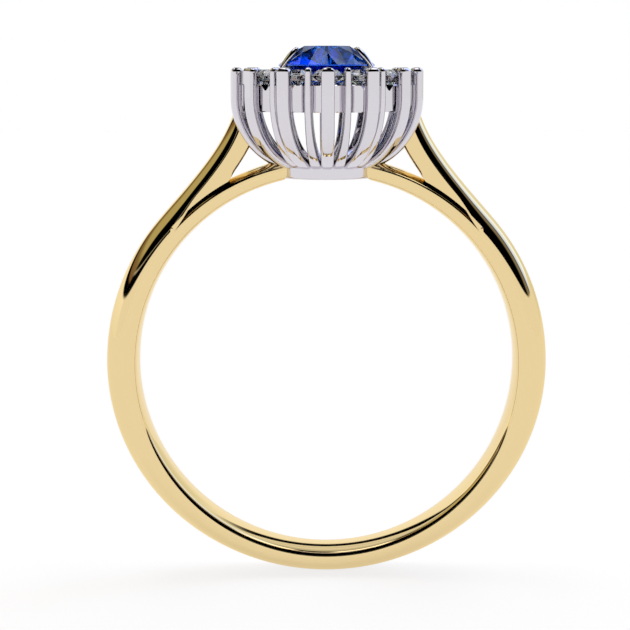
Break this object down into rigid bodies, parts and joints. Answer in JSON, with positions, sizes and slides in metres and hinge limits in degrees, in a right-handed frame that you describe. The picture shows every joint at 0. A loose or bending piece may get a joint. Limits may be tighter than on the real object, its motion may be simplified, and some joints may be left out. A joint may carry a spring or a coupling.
{
  "type": "engagement ring",
  "caption": "Cluster ring with an oval blue centre stone in a halo of small clear stones, in a basket of claws on a round hoop with raised shoulders.",
  "frame": {"origin": "centre of the finger hole, on its axis and midway across the hoop's width", "axes": "+Y along the finger's axis, away from the side shown in the picture; +Z from the finger hole towards the stones; +X to the right in the picture"},
  "size_m": [0.02, 0.0098, 0.0239],
  "materials": {
    "yellow_gold": "high polish",
    "white_gold": "rhodium plated, high polish",
    "diamond": "brilliant cut, colourless",
    "sapphire": "brilliant cut, deep blue"
  },
  "bodies": {
    "root": {"shank_hoop": "yellow_gold", "under_rail_left": "yellow_gold", "shoulder_rail_left": "yellow_gold", "under_rail_right": "yellow_gold", "shoulder_rail_right": "yellow_gold", "base_collar": "white_gold", "halo_claw_01": "white_gold", "halo_claw_02": "white_gold", "halo_claw_03": "white_gold", "halo_claw_04": "white_gold", "halo_claw_05": "white_gold", "halo_claw_06": "white_gold", "halo_claw_07": "white_gold", "halo_claw_08": "white_gold", "halo_claw_09": "white_gold", "halo_claw_10": "white_gold", "halo_claw_11": "white_gold", "halo_claw_12": "white_gold", "halo_claw_13": "white_gold", "halo_claw_14": "white_gold", "junction_claw_01": "white_gold", "junction_claw_02": "white_gold", "junction_claw_03": "white_gold", "junction_claw_04": "white_gold", "junction_claw_05": "white_gold", "junction_claw_06": "white_gold", "junction_claw_07": "white_gold", "junction_claw_08": "white_gold", "junction_claw_09": "white_gold", "junction_claw_10": "white_gold", "junction_claw_11": "white_gold", "junction_claw_12": "white_gold", "junction_claw_13": "white_gold", "junction_claw_14": "white_gold", "halo_diamond_01": "diamond", "halo_diamond_02": "diamond", "halo_diamond_03": "diamond", "halo_diamond_04": "diamond", "halo_diamond_05": "diamond", "halo_diamond_06": "diamond", "halo_diamond_07": "diamond", "halo_diamond_08": "diamond", "halo_diamond_09": "diamond", "halo_diamond_10": "diamond", "halo_diamond_11": "diamond", "halo_diamond_12": "diamond", "halo_diamond_13": "diamond", "halo_diamond_14": "diamond", "gallery_rail": "white_gold", "centre_claw_front_left": "white_gold", "centre_claw_front_right": "white_gold", "centre_claw_back_right": "white_gold", "centre_claw_back_left": "white_gold", "centre_seat": "white_gold", "sapphire": "sapphire"}
  },
  "joints": []
}
